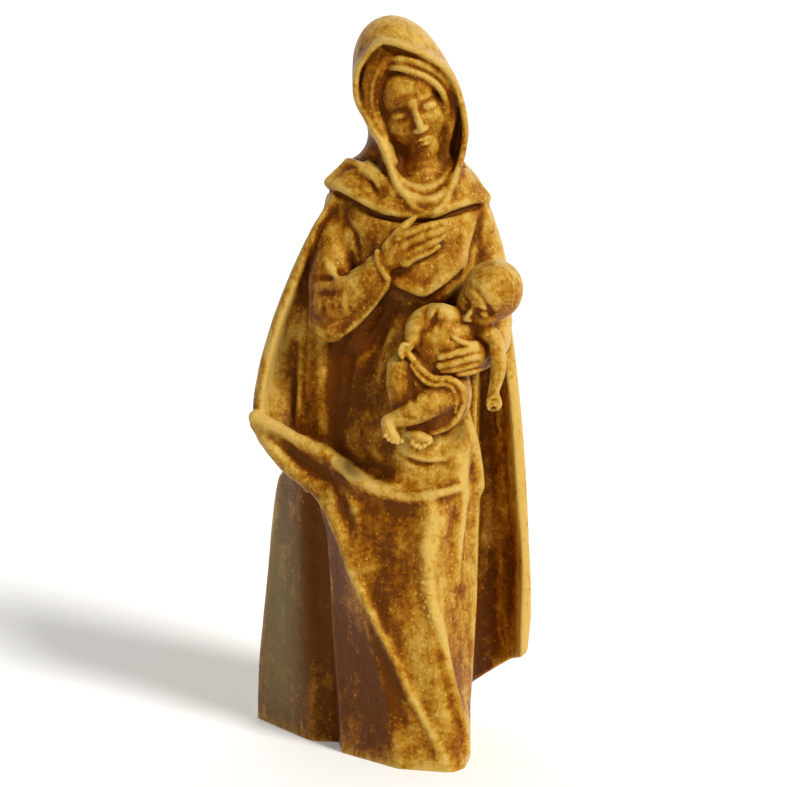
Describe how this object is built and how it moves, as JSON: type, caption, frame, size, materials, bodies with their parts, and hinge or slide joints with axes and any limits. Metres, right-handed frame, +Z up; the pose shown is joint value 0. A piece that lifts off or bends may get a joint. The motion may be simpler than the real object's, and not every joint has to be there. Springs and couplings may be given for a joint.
{
  "type": "virgin and child statue",
  "caption": "Standing veiled mother in a long open cloak, one hand on her breast and a sleeping child on her other arm, cast in one piece with a flat underside.",
  "frame": {"origin": "middle of the underside, on the surface the statue stands on", "axes": "+X to the viewer's right, +Y away from the viewer towards the statue's back, +Z up"},
  "size_m": [0.1545, 0.1207, 0.4001],
  "materials": {
    "stain": "cast resin with a streaked honey brown stain, dark in the hollows, satin"
  },
  "bodies": {
    "root": {"virgin_and_child": "stain"}
  },
  "joints": []
}
